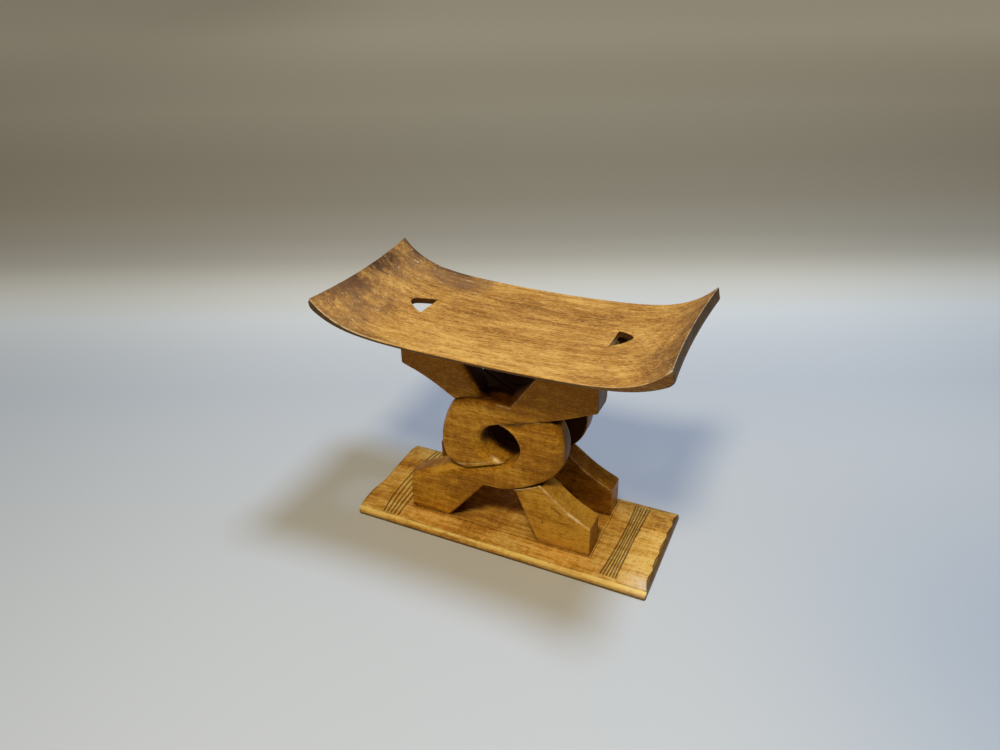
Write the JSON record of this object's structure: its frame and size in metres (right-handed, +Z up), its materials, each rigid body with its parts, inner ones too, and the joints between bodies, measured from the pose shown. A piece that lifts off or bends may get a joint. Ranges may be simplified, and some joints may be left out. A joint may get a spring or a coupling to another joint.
{
  "type": "carved wooden stool",
  "caption": "Carved hardwood stool with a curved rectangular seat on two interlaced knot panels over a plank base with incised lines.",
  "frame": {"origin": "middle of the base's underside, on the floor", "axes": "+X along the stool's length, towards the end whose base lines are closer together; +Y towards the back; +Z up"},
  "size_m": [0.496, 0.249, 0.38],
  "materials": {
    "seat_wood": "satin, worn and waxed",
    "base_wood": "satin, waxed",
    "upper_hook_wood": "polished satin",
    "lower_hook_wood": "polished satin"
  },
  "bodies": {
    "root": {"seat": "seat_wood", "base": "base_wood", "front_upper_hook": "upper_hook_wood", "front_lower_hook": "lower_hook_wood", "back_upper_hook": "upper_hook_wood", "back_lower_hook": "lower_hook_wood"}
  },
  "joints": []
}
